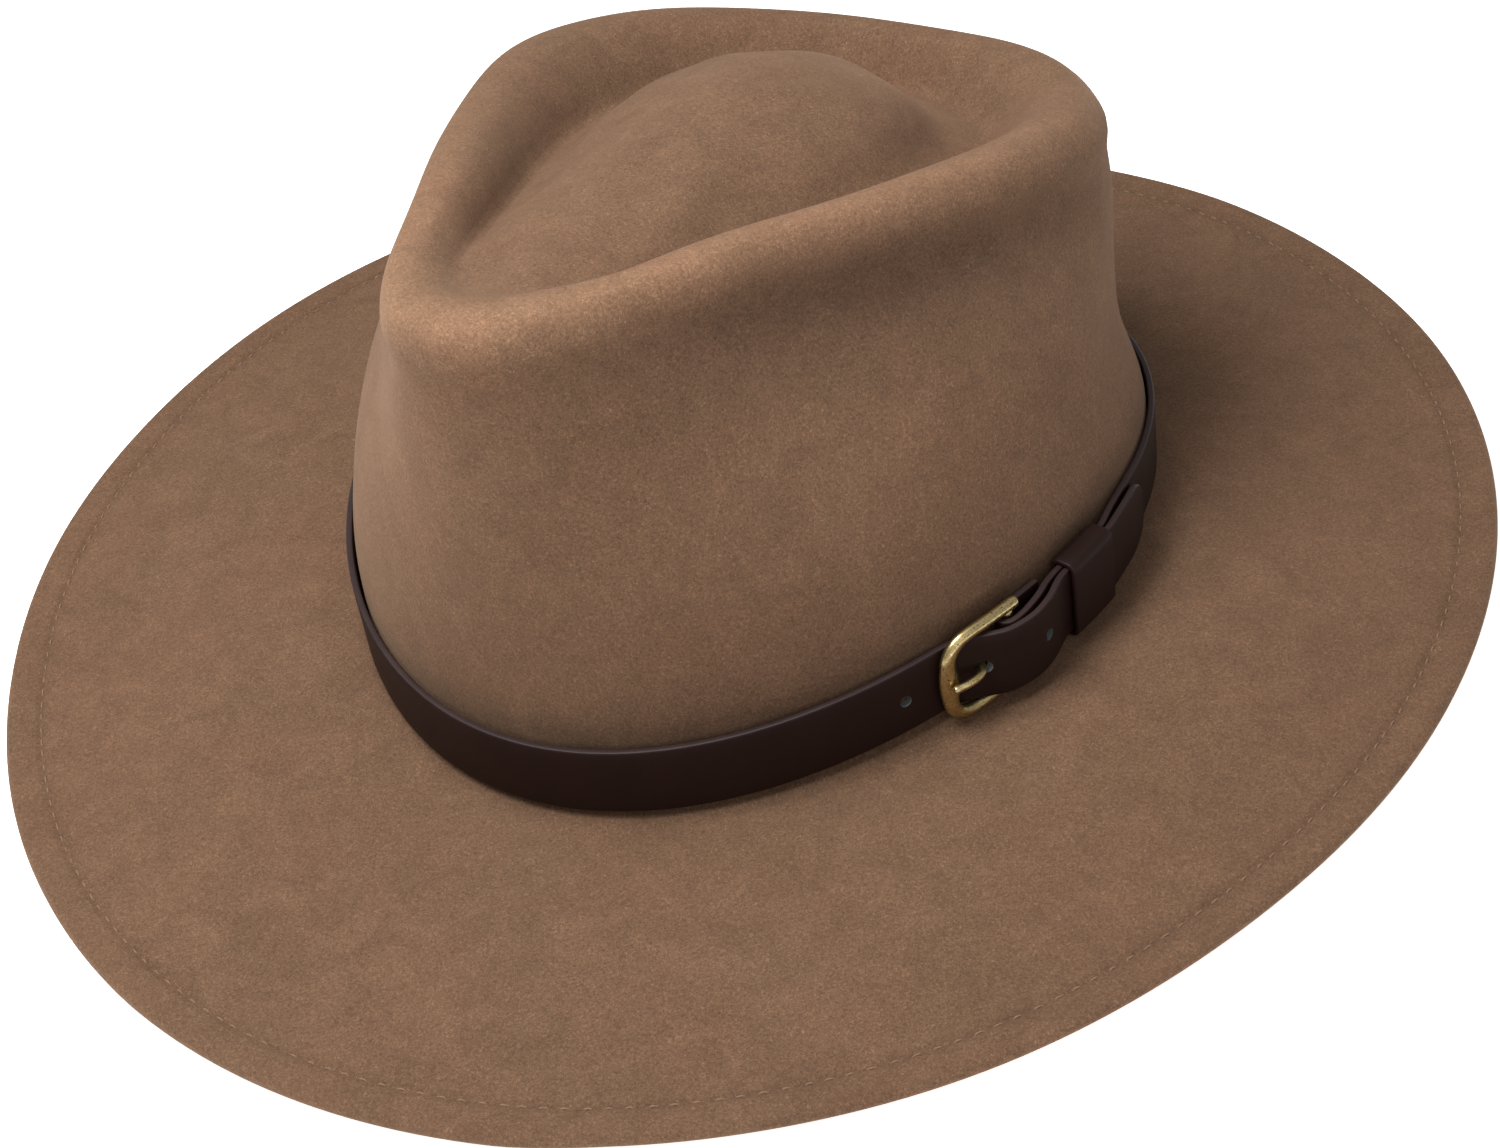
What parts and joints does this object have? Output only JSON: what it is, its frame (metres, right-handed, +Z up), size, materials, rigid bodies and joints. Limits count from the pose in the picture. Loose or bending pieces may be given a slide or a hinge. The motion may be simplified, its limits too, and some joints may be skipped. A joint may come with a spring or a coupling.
{
  "type": "wide-brim fedora hat",
  "caption": "Wide-brim felt fedora with a teardrop crown, a rolled rim and a buckled leather strap band.",
  "frame": {"origin": "middle of the brim's outline, on the plane that the hat rests on", "axes": "+Z up, front of the hat toward -Y, wearer's left (the buckle side) toward +X"},
  "size_m": [0.3408, 0.3674, 0.1214],
  "materials": {
    "felt": "brown fur felt with a short brushed nap",
    "leather": "dark brown smooth strap leather, low sheen",
    "brass": "antique brass, darkened and rubbed bright on the high places"
  },
  "bodies": {
    "root": {"felt_body": "felt", "leather_strap": "leather", "strap_keeper": "leather", "buckle_frame": "brass", "buckle_prong": "brass"}
  },
  "joints": []
}
